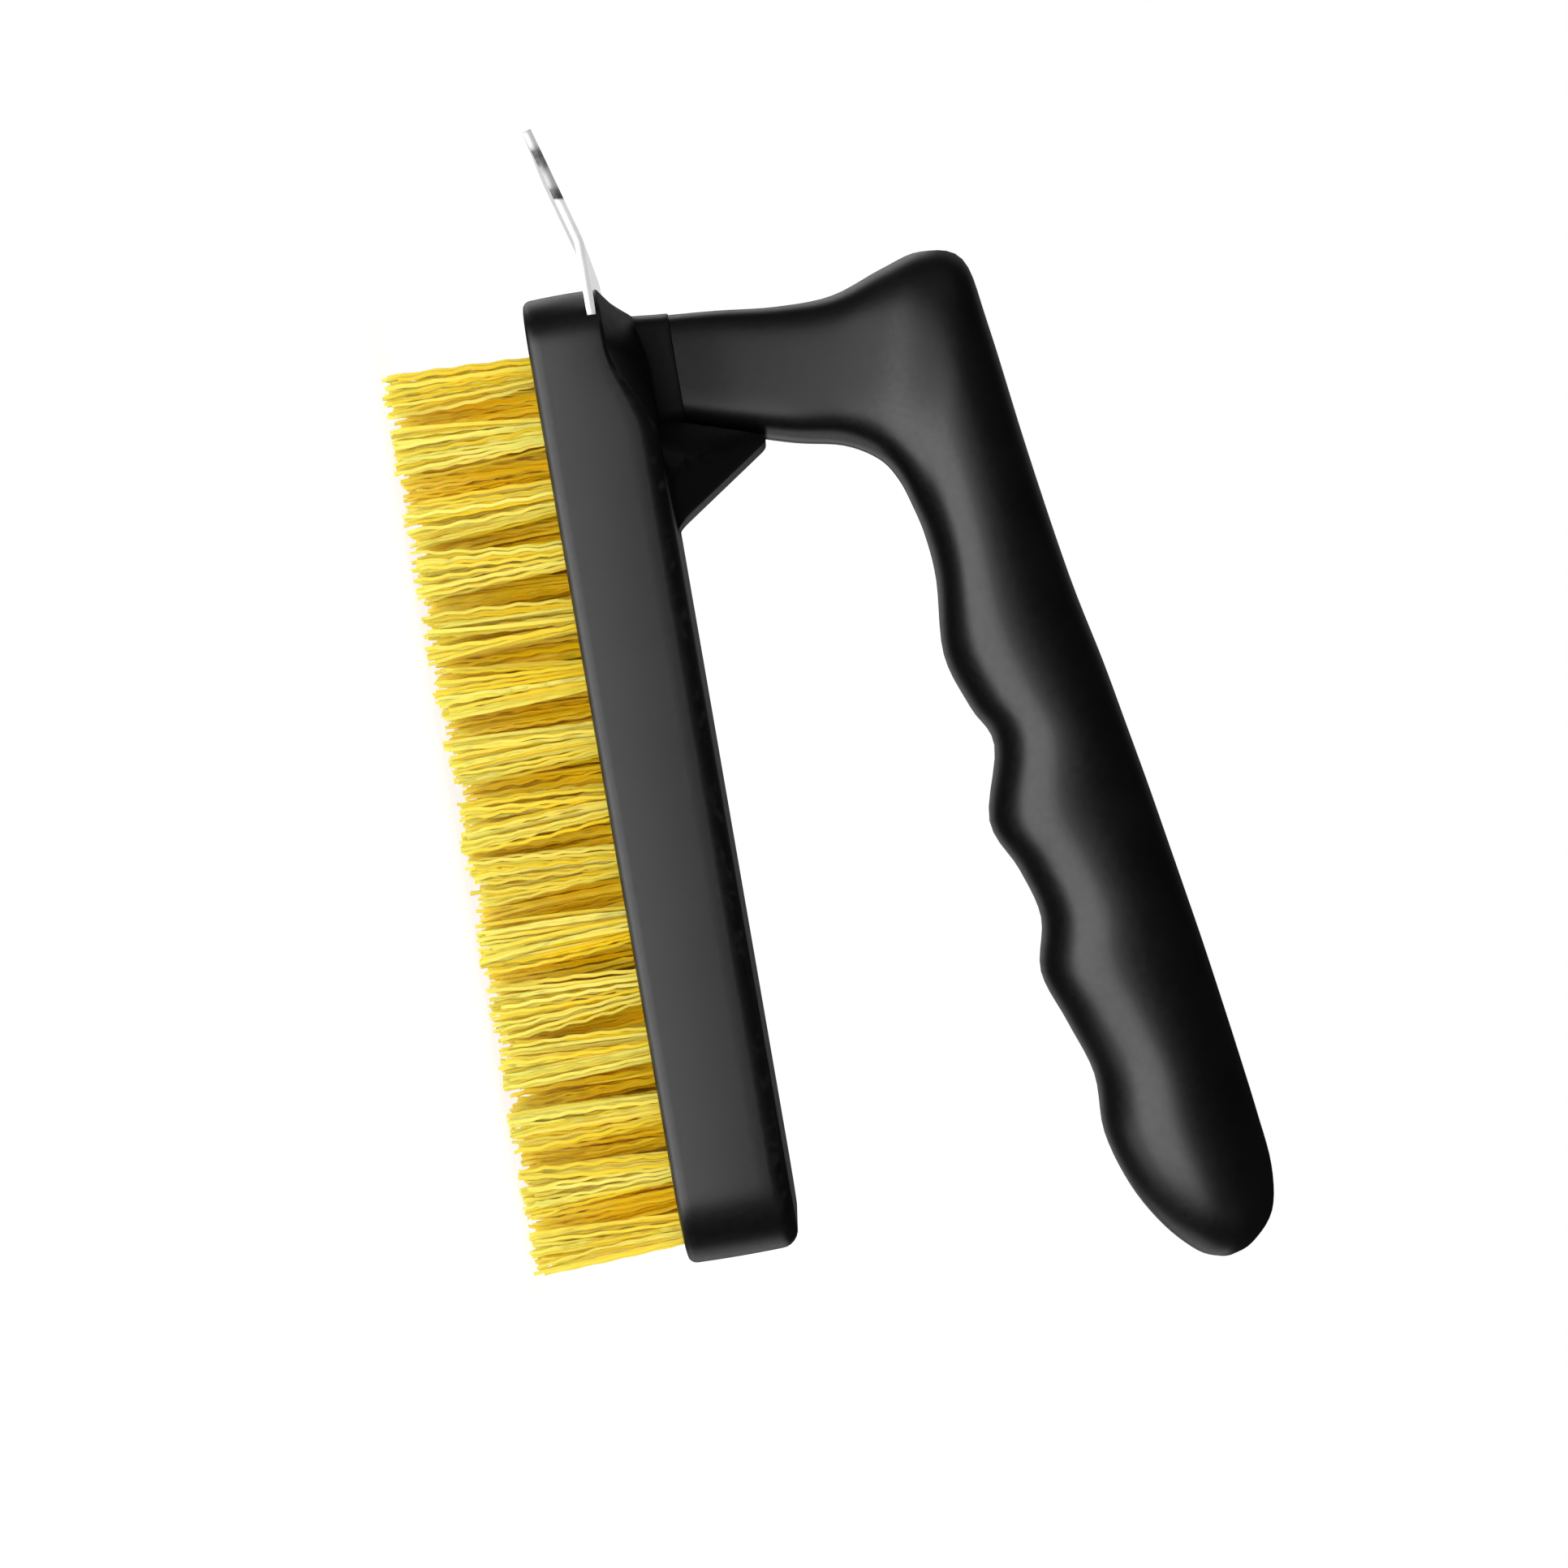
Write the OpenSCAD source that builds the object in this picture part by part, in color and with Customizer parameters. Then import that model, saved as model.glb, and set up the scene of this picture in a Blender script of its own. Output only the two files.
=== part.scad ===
// Grill cleaning brush: bristle head with a steel scraper and an arched hand grip.
// +X runs along the head from the scraper to the free end of the grip, +Y across it,
// +Z from the bristle tips up to the grip. The origin is the middle of the bristle tips.

/* [Head] */
// Length of the head
head_l = 160; // [156:1:168]
// Width of the head
head_w = 60; // [60:1:66]
// Height of the head, from its rim to its flat back
head_h = 18.5; // [18:0.5:20]
// Plan radius of the head's corners
corner_r = 12; // [10:1:12]
// Wall thickness of the head shell
wall = 2.2; // [2:0.1:2.2]
// Thickness of the tuft block
block_t = 8.5; // [8:0.5:8.5]

/* [Bristles] */
// Trim length of the bristles, from the rim of the head to the tips
trim = 25; // [18:1:32]
// Distance between tufts along a row
tuft_pitch = 10.1; // [9.9:0.1:10.1]
// Distance between rows
row_pitch = 11; // [10.5:0.5:11]
// Tufts in each long row, with one fewer in the staggered rows between
row_tufts = 15; // [15:2:15]
// Radius of a drilled tuft hole
tuft_hole_r = 2.5; // [2.3:0.1:2.5]
// Radius of a tuft where it leaves the block
tuft_root_r = 3; // [2.8:0.1:3.2]
// Radius of a tuft at its tips
tuft_tip_r = 4.5; // [4:0.1:4.7]

/* [Scraper] */
// Thickness of the scraper blade
blade_t = 1.5; // [1.2:0.1:1.5]
// Width of the scraper blade
blade_w = 56; // [50:1:56]
// Length of the flat part of the blade that stands out of the head
blade_flat = 7; // [5:1:10]
// Length of the scraping lip beyond the bend
blade_lip = 20; // [14:1:24]
// Angle of the scraping lip below the flat part
blade_bend = 15.5; // [8:0.5:25]

/* [Handle] */
// Wall thickness of the handle shells
shell_t = 2.8; // [2.4:0.1:3]
// Rise of the grip above the joint with the head
grip_rise = 1; // [0.95:0.01:1.1]
// Rings between two stations of the grip
ring_steps = 3; // [2:1:3]

/* [Screws] */
// Thread radius of every screw
screw_r = 1.6; // [1.4:0.1:1.6]
// Radius of a screw's head
screw_head_r = 2.5; // [2.3:0.1:2.5]
// Height of a screw's head
screw_head_h = 1.8; // [1.4:0.1:1.8]

/* [Hidden] */
$fn = 48;
fit = 0.1;                        // gap between mating pieces
eps = 0.01;                       // thickness of the slices that hulls are stretched over

// Heights, from the bristle tips up
rim_z = trim;                     // lower rim of the head
block_z = rim_z + 0.5;            // working face of the tuft block
block_top = block_z + block_t;
back_z = rim_z + head_h;          // flat back of the head
ceiling_z = back_z - 3;           // underside of the back
blade_z = rim_z + 10.3;           // underside of the blade
slot_top = blade_z + blade_t + fit;
lip_z = slot_top + 0.7;           // top edge of the head at the scraper end
seam_z = back_z + 4.5;            // joint between the head and the neck

// Places along the head
head_x0 = -2.5 - head_l / 2;      // scraper end
head_x1 = head_x0 + head_l;
edge_r = 3;                       // rounding of the upper edge
slope_x0 = head_x0 + 10;          // where the upper edge starts to rise to the back
slope_x1 = head_x0 + 26;          // where it reaches the back
shoulder_x = 4.4;                 // length of the shoulder's slant at the scraper end
collar_ledge = 0.3;               // how far the collar stands proud of the neck
blade_x1 = head_x0 + 17;          // inner end of the blade

// Gusset that braces the neck on the hand's side, as places from the scraper end
gusset_heel = 21.7;               // foot of its face against the neck
gusset_wide = 32;                 // widest place of its foot
gusset_toe = 39.6;                // tip of its foot
gusset_top = 17.2;                // rise above the back
gusset_top_x0 = 27.4;             // top, on the neck's side
gusset_top_x1 = 28.0;             // top, on the hand's side
gusset_half = 8.5;                // half width at the top and at the toe

// Tufts
rows = 5;
tuft_seat = block_z + 6.3;        // bottom of a tuft hole
anchor_l = 2 * tuft_hole_r - 0.2;
anchor_t = 0.5;
anchor_h = 2.2;

// Screws, as [x, y] or [x, z]
block_screw_x = row_tufts * tuft_pitch / 2 - 4.6;
block_screw_seat = rim_z + 3;
block_screw_l = 14;
blade_screws = [[head_x0 + 7, -20], [head_x0 + 7, 20]];
grip_screws = [[19, 44], [74, 51], [146, 61.5]];
grip_seat = 9;                    // half-depth at which a grip screw's head seats
grip_screw_l = 17;
neck_screw_at = [14, 5];
neck_seat = 9;
tenon = [9.5, 14, 9];             // spigot of the head that the neck closes on
tenon_x = 14;

// Stations of the handle, from the neck to the free end. Each one is
// [back x, back z, front x, front z, half width, squareness]: the back is the outer
// side of the arch, the front is the fingers' side, measured from the scraper end
// of the head and from the joint with the neck.
stations = [
  [4.3, 0, 23.0, 0, 11.0, 4.5],
  [4.9, 8, 25.5, 8.5, 11.0, 4.5],
  [5.9, 18, 28.3, 17.5, 11.0, 4.2],
  [5.6, 27.5, 30.2, 25.5, 11.3, 3.6],
  [2.5, 36.5, 33.5, 30.9, 11.8, 3.2],
  [0.7, 43.5, 37.5, 33.6, 12.4, 3.0],
  [3.1, 50.3, 42.5, 35.2, 12.8, 2.8],
  [14.5, 52.7, 48.0, 36.4, 13.1, 2.6],
  [36.5, 55.6, 55.5, 36.9, 13.3, 2.5],
  [58.5, 59.0, 68.0, 36.0, 13.4, 2.4],
  [73.5, 62.1, 77.5, 38.9, 13.4, 2.4],
  [84.5, 64.1, 84.5, 41.8, 13.4, 2.4],
  [95.0, 66.0, 97.0, 38.8, 13.4, 2.4],
  [106.5, 67.9, 106.0, 42.4, 13.4, 2.4],
  [115.0, 69.3, 114.5, 44.6, 13.4, 2.4],
  [123.0, 70.6, 123.5, 43.0, 13.4, 2.4],
  [132.5, 72.0, 132.5, 45.9, 13.4, 2.4],
  [142.5, 73.4, 142.0, 48.9, 13.4, 2.4],
  [152.5, 74.7, 152.0, 48.9, 13.2, 2.4],
  [162.0, 75.6, 161.5, 51.7, 12.6, 2.3],
  [169.5, 74.4, 169.0, 56.0, 10.8, 2.2],
  [174.1, 70.4, 174.1, 60.8, 7.0, 2.1],
  [175.7, 66.9, 175.7, 64.3, 2.2, 2.0]];

arc_steps = 12;                   // facets of half a section

// A Catmull-Rom curve through b and c, at t from 0 to 1
function blend(a, b, c, d, t) =
  0.5 * (2 * b + (c - a) * t + (2 * a - 5 * b + 4 * c - d) * t * t
         + (3 * b - a - 3 * c + d) * t * t * t);

// All the rings of the handle, with the extra ones blended between the stations
last = len(stations) - 1;
rings = [for (i = [0:last - 1], k = [0:ring_steps - 1])
           blend(stations[max(i - 1, 0)], stations[i], stations[i + 1],
                 stations[min(i + 2, last)], k / ring_steps),
         stations[last]];

function signed_pow(v, p) = sign(v) * pow(abs(v), p);

// One point of a ring's half section, at an angle from its back, drawn in by depth
function ring_point(ring, angle, depth) =
  let (back = [ring[0], ring[1] * grip_rise], front = [ring[2], ring[3] * grip_rise],
       mid = (back + front) / 2, reach = norm(back - front) / 2,
       tall = max(reach - depth, 0.4 * reach) / reach,
       wide = max(ring[4] - depth, 0.4 * ring[4]),
       at = mid + (back - mid) * tall * signed_pow(cos(angle), 2 / ring[5]))
  [at.x, -wide * pow(abs(sin(angle)), 2 / ring[5]), at.y];

// The closed outline of half a wall: out along the outer face, back along the inner one
function wall_loop(ring) = concat(
  [for (j = [0:arc_steps]) ring_point(ring, 180 * j / arc_steps, 0)],
  [for (j = [arc_steps:-1:0]) ring_point(ring, 180 * j / arc_steps, shell_t)]);

// Two triangles for the four corners a, b, c, d of a strip
function quad(a, b, c, d) = [[a, b, c], [a, c, d]];

// Half of the hollow handle, on the -Y side of its parting plane
module handle_half() {
  n = 2 * (arc_steps + 1);
  end = (len(rings) - 1) * n;
  sides = [for (i = [0:len(rings) - 2], j = [0:n - 1])
             each quad(i * n + j, (i + 1) * n + j, (i + 1) * n + (j + 1) % n,
                       i * n + (j + 1) % n)];
  caps = [for (j = [0:arc_steps - 1])
            each concat(quad(j, j + 1, n - 2 - j, n - 1 - j),
                        quad(end + j, end + n - 1 - j, end + n - 2 - j, end + j + 1))];
  polyhedron([for (r = rings) each wall_loop(r)], concat(sides, caps), convexity = 6);
}

// A plan rectangle with round corners
module round_plan(x0, x1, w, r) {
  translate([x0, r - w / 2]) square([x1 - x0, w - 2 * r]);
  translate([x0 + r, -w / 2]) square([x1 - x0 - 2 * r, w]);
  for (x = [x0 + r, x1 - r], y = [r - w / 2, w / 2 - r]) translate([x, y]) circle(r);
}

// The head's outline, drawn in by a distance
module head_plan(inset) {
  round_plan(head_x0 + inset, head_x1 - inset, head_w - 2 * inset, corner_r - inset);
}

// A slice of the head's outline between two places, at a height
module head_slice(x0, x1, inset, z) {
  translate([0, 0, z - eps]) linear_extrude(eps) intersection() {
    head_plan(inset);
    translate([x0, -head_w]) square([x1 - x0, 2 * head_w]);
  }
}

// A level box with its corner at x0, centred across the head
module bar(x0, x1, half, z0, z1) {
  translate([x0, -half, z0]) cube([x1 - x0, 2 * half, z1 - z0]);
}

// Flat back with a rounded edge, from the neck to the free end
module head_back() {
  hull() {
    head_slice(slope_x1, head_x1, 0, back_z - edge_r);
    head_slice(slope_x1, head_x1, edge_r * 0.3, back_z - edge_r * 0.3);
    head_slice(slope_x1, head_x1, edge_r, back_z);
  }
}

// Shoulder that rises from the low edge at the scraper end to the back
module head_shoulder() {
  hull() {
    head_slice(head_x0, slope_x0, 0, lip_z);
    head_slice(slope_x1, slope_x1 + 1, 0, back_z - edge_r);
    bar(head_x0 + shoulder_x, slope_x1 + 1, 12.5, back_z - 3, back_z - 2);
    head_slice(slope_x1, slope_x1 + 1, edge_r, back_z);
  }
}

// A slice of the collar, drawn out from the neck that it carries
module collar_slice(out, z) {
  translate([head_x0, 0, z - eps]) linear_extrude(eps)
    round_plan(stations[0][0] - out, stations[0][2] + out, 2 * (stations[0][4] + out), 3.5 + out);
}

// Collar that stands on the shoulder and carries the neck
module collar() {
  hull() {
    collar_slice(0.9, back_z - 2.5);
    collar_slice(collar_ledge, seam_z);
  }
}

// Gusset that fans out from the neck to the width of the head
module gusset() {
  hull() {
    translate([head_x0, 0, back_z - 0.5]) linear_extrude(eps) polygon([
      [gusset_heel, stations[0][4]], [gusset_wide, head_w / 2 - 4],
      [gusset_toe, gusset_half], [gusset_toe, -gusset_half],
      [gusset_wide, 4 - head_w / 2], [gusset_heel, -stations[0][4]]]);
    bar(head_x0 + gusset_top_x0, head_x0 + gusset_top_x1, gusset_half,
        back_z + gusset_top - 0.5, back_z + gusset_top);
  }
}

// Solid outside of the head
module head_outside() {
  translate([0, 0, rim_z]) linear_extrude(lip_z - rim_z) head_plan(0);
  translate([0, 0, rim_z]) linear_extrude(head_h - edge_r) intersection() {
    head_plan(0);
    translate([slope_x1, -head_w]) square([head_l, 2 * head_w]);
  }
  head_back();
  head_shoulder();
  collar();
  gusset();
  bar(head_x0 + tenon_x - tenon.x / 2, head_x0 + tenon_x + tenon.x / 2, tenon.y / 2,
      seam_z - 1, seam_z + tenon.z);
}

// Plan of the room inside the shell, drawn in by the fit where the block fills it
module room_plan(gap) {
  head_plan(wall + gap);
}

module head_shell() {
  boss_r = 3.6;
  rib_t = 1.8;
  color([0.07, 0.07, 0.08]) difference() {
    union() {
      difference() {
        head_outside();
        translate([0, 0, rim_z - 1]) linear_extrude(slot_top - rim_z + 1) room_plan(0);
        translate([0, 0, rim_z]) linear_extrude(ceiling_z - rim_z) intersection() {
          room_plan(0);
          translate([slope_x1 + 4, -head_w]) square([head_l, 2 * head_w]);
        }
        // slot for the blade, open through the end wall and round its corners
        bar(head_x0 - 1, blade_x1 + fit, blade_w / 2 + fit, blade_z - fit, slot_top);
      }
      // bosses and ribs that the tuft block seats against
      for (y = [-row_pitch, row_pitch]) {
        translate([block_screw_x, y, block_top + fit])
          cylinder(h = ceiling_z + 1 - block_top, r = boss_r);
        translate([slope_x1 + 3, y - rib_t / 2, block_top + fit])
          cube([block_screw_x - slope_x1 - 3, rib_t, ceiling_z + 1 - block_top]);
      }
    }
    for (x = [-block_screw_x, block_screw_x], y = [-row_pitch, row_pitch])
      translate([x, y, block_top]) cylinder(h = block_screw_l - 5.4, r = screw_r + 0.02);
    for (p = blade_screws)
      translate([p.x, p.y, slot_top - 1]) cylinder(h = 3.9, r = screw_r + 0.02);
    translate([head_x0 + neck_screw_at.x, tenon.y / 2 + 1, seam_z + neck_screw_at.y])
      rotate([90, 0, 0]) cylinder(h = tenon.y, r = screw_r + 0.02);
  }
}

// How many tufts stand in a row, and where the first one is
function tufts_in(row) = row_tufts - row % 2;
function first_x(row) = -(tufts_in(row) - 1) * tuft_pitch / 2;
function row_y(row) = (row - (rows - 1) / 2) * row_pitch;

// Places a child at every tuft of a row
module each_tuft(row) {
  for (i = [0:tufts_in(row) - 1])
    translate([first_x(row) + i * tuft_pitch, row_y(row), 0]) children();
}

module tuft_block() {
  color([0.09, 0.09, 0.1]) difference() {
    translate([0, 0, block_z]) linear_extrude(block_t) room_plan(fit);
    for (row = [0:rows - 1]) each_tuft(row)
      translate([0, 0, block_z - 1]) cylinder(h = tuft_seat - block_z + 1, r = tuft_hole_r);
    for (x = [-block_screw_x, block_screw_x], y = [-row_pitch, row_pitch])
      translate([x, y, block_z - 1]) {
        cylinder(h = block_t + 2, r = screw_r + fit);
        cylinder(h = block_screw_seat - block_z + 1, r = screw_head_r + fit);
      }
    // room for the heads of the scraper screws
    for (p = blade_screws)
      translate([p.x, p.y, block_top - 2]) cylinder(h = 3, r = screw_head_r + 0.8);
  }
}

// One tuft: a plug in its hole, spreading towards the tips, notched for its anchor
module tuft() {
  difference() {
    union() {
      translate([0, 0, block_z]) cylinder(h = tuft_seat - block_z - 0.05, r = tuft_hole_r - 0.05);
      cylinder(h = block_z, r1 = tuft_tip_r, r2 = tuft_root_r);
    }
    translate([-anchor_t / 2 - 0.05, -anchor_l, tuft_seat - anchor_h - 0.6])
      cube([anchor_t + 0.1, 2 * anchor_l, anchor_h + 1]);
  }
}

module tuft_row(row) {
  color([0.93, 0.8, 0.18]) each_tuft(row) tuft();
}

// Flat wire anchors that hold the folded filaments at the bottom of each hole
module tuft_anchors() {
  color([0.75, 0.75, 0.76]) for (row = [0:rows - 1]) each_tuft(row)
    translate([-anchor_t / 2, -anchor_l / 2, tuft_seat - anchor_h - 0.3])
      cube([anchor_t, anchor_l, anchor_h]);
}

module scraper_blade() {
  bend_x = head_x0 - blade_flat;
  tip = [bend_x - blade_lip * cos(blade_bend), blade_z - blade_lip * sin(blade_bend)];
  rise = blade_t * [sin(blade_bend), cos(blade_bend)];
  color([0.78, 0.78, 0.8]) difference() {
    intersection() {
      translate([0, blade_w / 2, 0]) rotate([90, 0, 0]) linear_extrude(blade_w) polygon([
        [blade_x1, blade_z], [bend_x, blade_z], tip, tip + [-rise.x, rise.y],
        [bend_x - blade_t * tan(blade_bend / 2), blade_z + blade_t],
        [blade_x1, blade_z + blade_t]]);
      linear_extrude(back_z) round_plan(tip.x - 1, blade_x1, blade_w, 3);
    }
    for (p = blade_screws) translate([p.x, p.y, 0]) cylinder(h = back_z, r = screw_r + fit);
    for (y = [-row_pitch, row_pitch])
      translate([-block_screw_x, y, 0]) cylinder(h = back_z, r = screw_r + 2 * fit);
  }
}

// A pan-head screw along +Z, with its head below z = 0 and a cross recess in it
module screw(l) {
  color([0.7, 0.7, 0.72]) {
    difference() {
      translate([0, 0, -screw_head_h]) cylinder(h = screw_head_h, r = screw_head_r);
      for (a = [0, 90]) rotate(a) translate([-1.5, -0.3, -screw_head_h - 1])
        cube([3, 0.6, 1.9]);
    }
    cylinder(h = l - 1.5, r = screw_r);
    translate([0, 0, l - 1.5]) cylinder(h = 1.5, r1 = screw_r, r2 = 0.4);
  }
}

washer_t = 0.6;

module scraper_screws() {
  for (p = blade_screws) translate([p.x, p.y, blade_z - washer_t]) screw(5.2);
}

module scraper_washers() {
  color([0.72, 0.72, 0.74]) for (p = blade_screws)
    translate([p.x, p.y, blade_z - washer_t]) difference() {
      cylinder(h = washer_t, r = screw_head_r + 0.5);
      translate([0, 0, -1]) cylinder(h = 3, r = screw_r + fit);
    }
}

module block_screws() {
  for (x = [-block_screw_x, block_screw_x], y = [-row_pitch, row_pitch])
    translate([x, y, block_screw_seat]) screw(block_screw_l);
}

// Places children on the grip, with +Z of the child pointing to -Y of the brush
module on_handle(at, y) {
  translate([head_x0 + at.x, y, seam_z + at.y * grip_rise]) rotate([90, 0, 0]) children();
}

module handle_left() {
  color([0.06, 0.06, 0.07]) difference() {
    union() {
      translate([head_x0, 0, seam_z]) handle_half();
      for (p = grip_screws) on_handle(p, 0) cylinder(h = 11.8, r = 4.2);
    }
    for (p = grip_screws) on_handle(p, 1) cylinder(h = 10, r = screw_r + 0.02);
  }
}

module handle_right() {
  color([0.06, 0.06, 0.07]) difference() {
    union() {
      translate([head_x0, 0, seam_z]) mirror([0, 1, 0]) handle_half();
      for (p = grip_screws) on_handle(p, 11.8) cylinder(h = 11.8, r = 4.2);
      on_handle(neck_screw_at, 9.8) cylinder(h = 9.8 - tenon.y / 2 - fit, r = 4.2);
    }
    for (p = grip_screws) on_handle(p, 16) {
      cylinder(h = 17, r = screw_r + fit);
      cylinder(h = 16 - grip_seat, r = screw_head_r + 0.3);
    }
    on_handle(neck_screw_at, 16) {
      cylinder(h = 12, r = screw_r + fit);
      cylinder(h = 16 - neck_seat, r = screw_head_r + 0.3);
    }
  }
}

module handle_screws() {
  for (p = grip_screws) on_handle(p, grip_seat) screw(grip_screw_l);
}

module neck_screw() {
  on_handle(neck_screw_at, neck_seat) screw(14);
}

head_shell();
tuft_block();
tuft_row(0);  // tuft_row_1
tuft_row(1);  // tuft_row_2
tuft_row(2);  // tuft_row_3
tuft_row(3);  // tuft_row_4
tuft_row(4);  // tuft_row_5
tuft_anchors();
scraper_blade();
scraper_screws();
scraper_washers();
block_screws();
handle_left();
handle_right();
handle_screws();
neck_screw();
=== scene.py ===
"""A grill cleaning brush: bristle head, steel scraper and arched hand grip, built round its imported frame.

Lengths are in millimetres until in_metres() makes an object of a finished mesh. The camera, lights
and floor are in metres.
"""
import math
import random

import bmesh
import bpy
from mathutils import Matrix, Vector


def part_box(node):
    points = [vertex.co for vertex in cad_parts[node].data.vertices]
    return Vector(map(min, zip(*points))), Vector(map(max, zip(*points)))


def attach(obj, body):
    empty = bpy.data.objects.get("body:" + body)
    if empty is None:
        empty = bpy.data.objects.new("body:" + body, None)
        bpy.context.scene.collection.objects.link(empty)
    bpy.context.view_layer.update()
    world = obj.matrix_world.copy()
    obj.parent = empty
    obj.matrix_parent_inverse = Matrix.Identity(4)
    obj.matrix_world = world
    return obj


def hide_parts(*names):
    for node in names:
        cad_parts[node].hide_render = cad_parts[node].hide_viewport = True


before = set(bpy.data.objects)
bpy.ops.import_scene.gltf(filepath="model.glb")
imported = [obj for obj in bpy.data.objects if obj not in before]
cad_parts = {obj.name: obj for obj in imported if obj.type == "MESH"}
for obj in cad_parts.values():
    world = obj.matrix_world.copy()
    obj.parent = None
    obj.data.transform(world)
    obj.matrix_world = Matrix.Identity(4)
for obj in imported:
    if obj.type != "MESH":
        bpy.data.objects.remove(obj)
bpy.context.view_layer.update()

MM = 0.001
TINY = 0.001                       # in millimetres, for points that should be one


def box_mm(node):
    """The lowest and highest corners of a CAD node, in millimetres."""
    low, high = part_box(node)
    return Vector(low) / MM, Vector(high) / MM


HEAD_LOW, HEAD_HIGH = box_mm("head_shell")
BLOCK_LOW = box_mm("tuft_block")[0]
BLADE_HIGH = box_mm("scraper_blade")[1]
SEAM_Z = box_mm("handle_left")[0].z    # where the handle meets the collar
HEAD_X0, HEAD_X1 = HEAD_LOW.x, HEAD_HIGH.x
HALF_W = HEAD_HIGH.y
RIM_Z = HEAD_LOW.z
BACK_Z = SEAM_Z - 4.5              # the head's flat back
BLADE_T = 1.5                      # the scraper's sheet


# ---------------------------------------------------------------- mesh helpers

def ring_of(bm, places):
    """A closed ring of vertices and edges at the given places."""
    ring = [bm.verts.new(p) for p in places]
    for a, b in zip(ring, ring[1:] + ring[:1]):
        bm.edges.new((a, b))
    return ring


def grow(bm, ring, places):
    """Extrudes a closed ring of vertices and moves the new ring to the given places."""
    edges = [bm.edges.get((a, b)) for a, b in zip(ring, ring[1:] + ring[:1])]
    made = bmesh.ops.extrude_edge_only(bm, edges=edges)["geom"]
    fresh = {v for v in made if isinstance(v, bmesh.types.BMVert)}
    out = []
    for v, p in zip(ring, places):
        w = next(e.other_vert(v) for e in v.link_edges if e.other_vert(v) in fresh)
        w.co = p
        out.append(w)
    return out


def close(bm, ring):
    """Fills a ring of vertices with one face."""
    edges = [bm.edges.get((a, b)) for a, b in zip(ring, ring[1:] + ring[:1])]
    bmesh.ops.contextual_create(bm, geom=edges)


def loft(bm, rings):
    """A skin through a list of rings, closed at both ends."""
    skin = [ring_of(bm, rings[0])]
    for places in rings[1:]:
        skin.append(grow(bm, skin[-1], places))
    close(bm, skin[0])
    close(bm, skin[-1])
    return skin


def in_metres(bm, name):
    """Scales a mesh from millimetres and makes an object of it, at the origin."""
    bmesh.ops.scale(bm, vec=(MM, MM, MM), verts=bm.verts)
    mesh = bpy.data.meshes.new(name)
    bm.to_mesh(mesh)
    bm.free()
    thing = bpy.data.objects.new(name, mesh)
    bpy.context.scene.collection.objects.link(thing)
    return thing


def shade(mesh, sharp):
    """Smooth shading, with sharp edges where faces meet at more than the given degrees."""
    mesh.shade_smooth()
    mesh.set_sharp_from_angle(angle=math.radians(sharp))


def place(bm, name, material, node, sharp=35, turned_out=False):
    """Makes a piece that takes a CAD node's place.

    turned_out says that the mesh's faces point outwards already.
    """
    if not turned_out:
        bmesh.ops.recalc_face_normals(bm, faces=bm.faces)
    piece = in_metres(bm, name)
    piece.data.materials.append(material)
    shade(piece.data, sharp)
    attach(piece, "root")
    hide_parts(node)
    return piece


def carve(piece, bm, operation="DIFFERENCE"):
    """Cuts a mesh in millimetres out of a placed piece, or joins it on."""
    bmesh.ops.recalc_face_normals(bm, faces=bm.faces)
    cutter = in_metres(bm, "cutter")
    cut = piece.modifiers.new("cut", "BOOLEAN")
    cut.operation = operation
    cut.solver = "EXACT"
    cut.object = cutter
    depsgraph = bpy.context.evaluated_depsgraph_get()
    made = bpy.data.meshes.new_from_object(piece.evaluated_get(depsgraph))
    piece.modifiers.clear()
    spent = [piece.data, cutter.data]
    piece.data = made
    bpy.data.objects.remove(cutter)
    for mesh in spent:
        bpy.data.meshes.remove(mesh)
    shade(made, 35)


def smooth_step(t):
    """Eases from 0 to 1 as t goes from 0 to 1."""
    t = min(max(t, 0.0), 1.0)
    return t * t * (3 - 2 * t)


def soft_max(a, b, width):
    """The larger of two heights, with a small fillet where they meet."""
    h = max(width - abs(a - b), 0.0) / width
    return max(a, b) + h * h * width / 4


def soft_min(a, b, width):
    """The smaller of two heights, with a small round where they meet."""
    return -soft_max(-a, -b, width)


# ---------------------------------------------------------------- handle

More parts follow.
